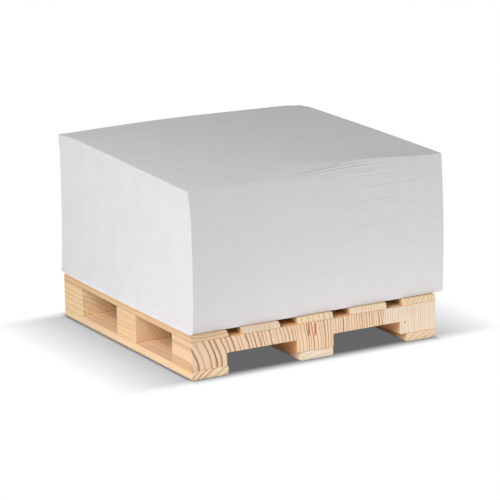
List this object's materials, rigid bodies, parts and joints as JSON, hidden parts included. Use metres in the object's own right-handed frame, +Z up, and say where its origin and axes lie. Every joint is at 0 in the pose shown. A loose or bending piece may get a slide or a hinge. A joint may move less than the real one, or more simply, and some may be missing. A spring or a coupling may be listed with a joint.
{
  "type": "memo block on mini pallet",
  "caption": "Square pad of white memo paper, glued along one edge, standing on a miniature softwood pallet with comb-shaped bearers, skids and deck boards; sheets lift and the pad comes off.",
  "frame": {"origin": "on the surface that the pallet stands on, under the centre of the pallet's footprint, which lies on the middle skid's underside", "axes": "+X to the right along the front (end-grain) face, away from the glued edge of the pad; +Y to the rear; +Z up"},
  "size_m": [0.1023, 0.1035, 0.0661],
  "materials": {
    "skid_pine": "bare sawn softwood",
    "bearer_pine": "bare softwood, end grain to the front",
    "strip_pine": "bare softwood of fine even grain",
    "deck_pine": "bare sawn softwood",
    "brad_steel": "plain wire",
    "memo_paper": "uncoated, matt white",
    "padding_glue": "dried white padding glue, matt",
    "backing_card": "plain grey-white"
  },
  "bodies": {
    "pallet": {"left_skid": "skid_pine", "middle_skid": "skid_pine", "right_skid": "skid_pine", "front_bearer": "bearer_pine", "front_bearer_strip": "strip_pine", "middle_bearer": "bearer_pine", "middle_bearer_strip": "strip_pine", "rear_bearer": "bearer_pine", "rear_bearer_strip": "strip_pine", "deck_board_1": "deck_pine", "deck_board_2": "deck_pine", "deck_board_3": "deck_pine", "deck_board_4": "deck_pine", "deck_board_5": "deck_pine", "deck_pins": "brad_steel", "skid_pins": "brad_steel"},
    "paper_block": {"backing_card": "backing_card", "lower_sheets": "memo_paper", "lower_spine_glue": "padding_glue"},
    "sheet_packet": {"upper_sheets": "memo_paper", "upper_spine_glue": "padding_glue"},
    "loose_sheet": {"top_sheet": "memo_paper"}
  },
  "joints": [
    {"name": "block_lift", "type": "slide", "parent": "pallet", "child": "paper_block", "axis": [0, 0, 1], "range_m": [0, 0.06]},
    {"name": "upper_sheets_turn", "type": "hinge", "parent": "paper_block", "child": "sheet_packet", "pos_m": [-0.0475, 0.00237, 0.0626], "axis": [0, -1, 0], "range_deg": [0, 60]},
    {"name": "top_sheet_turn", "type": "hinge", "parent": "sheet_packet", "child": "loose_sheet", "pos_m": [-0.0475, 0.00237, 0.066], "axis": [0, -1, 0], "range_deg": [0, 105]}
  ]
}
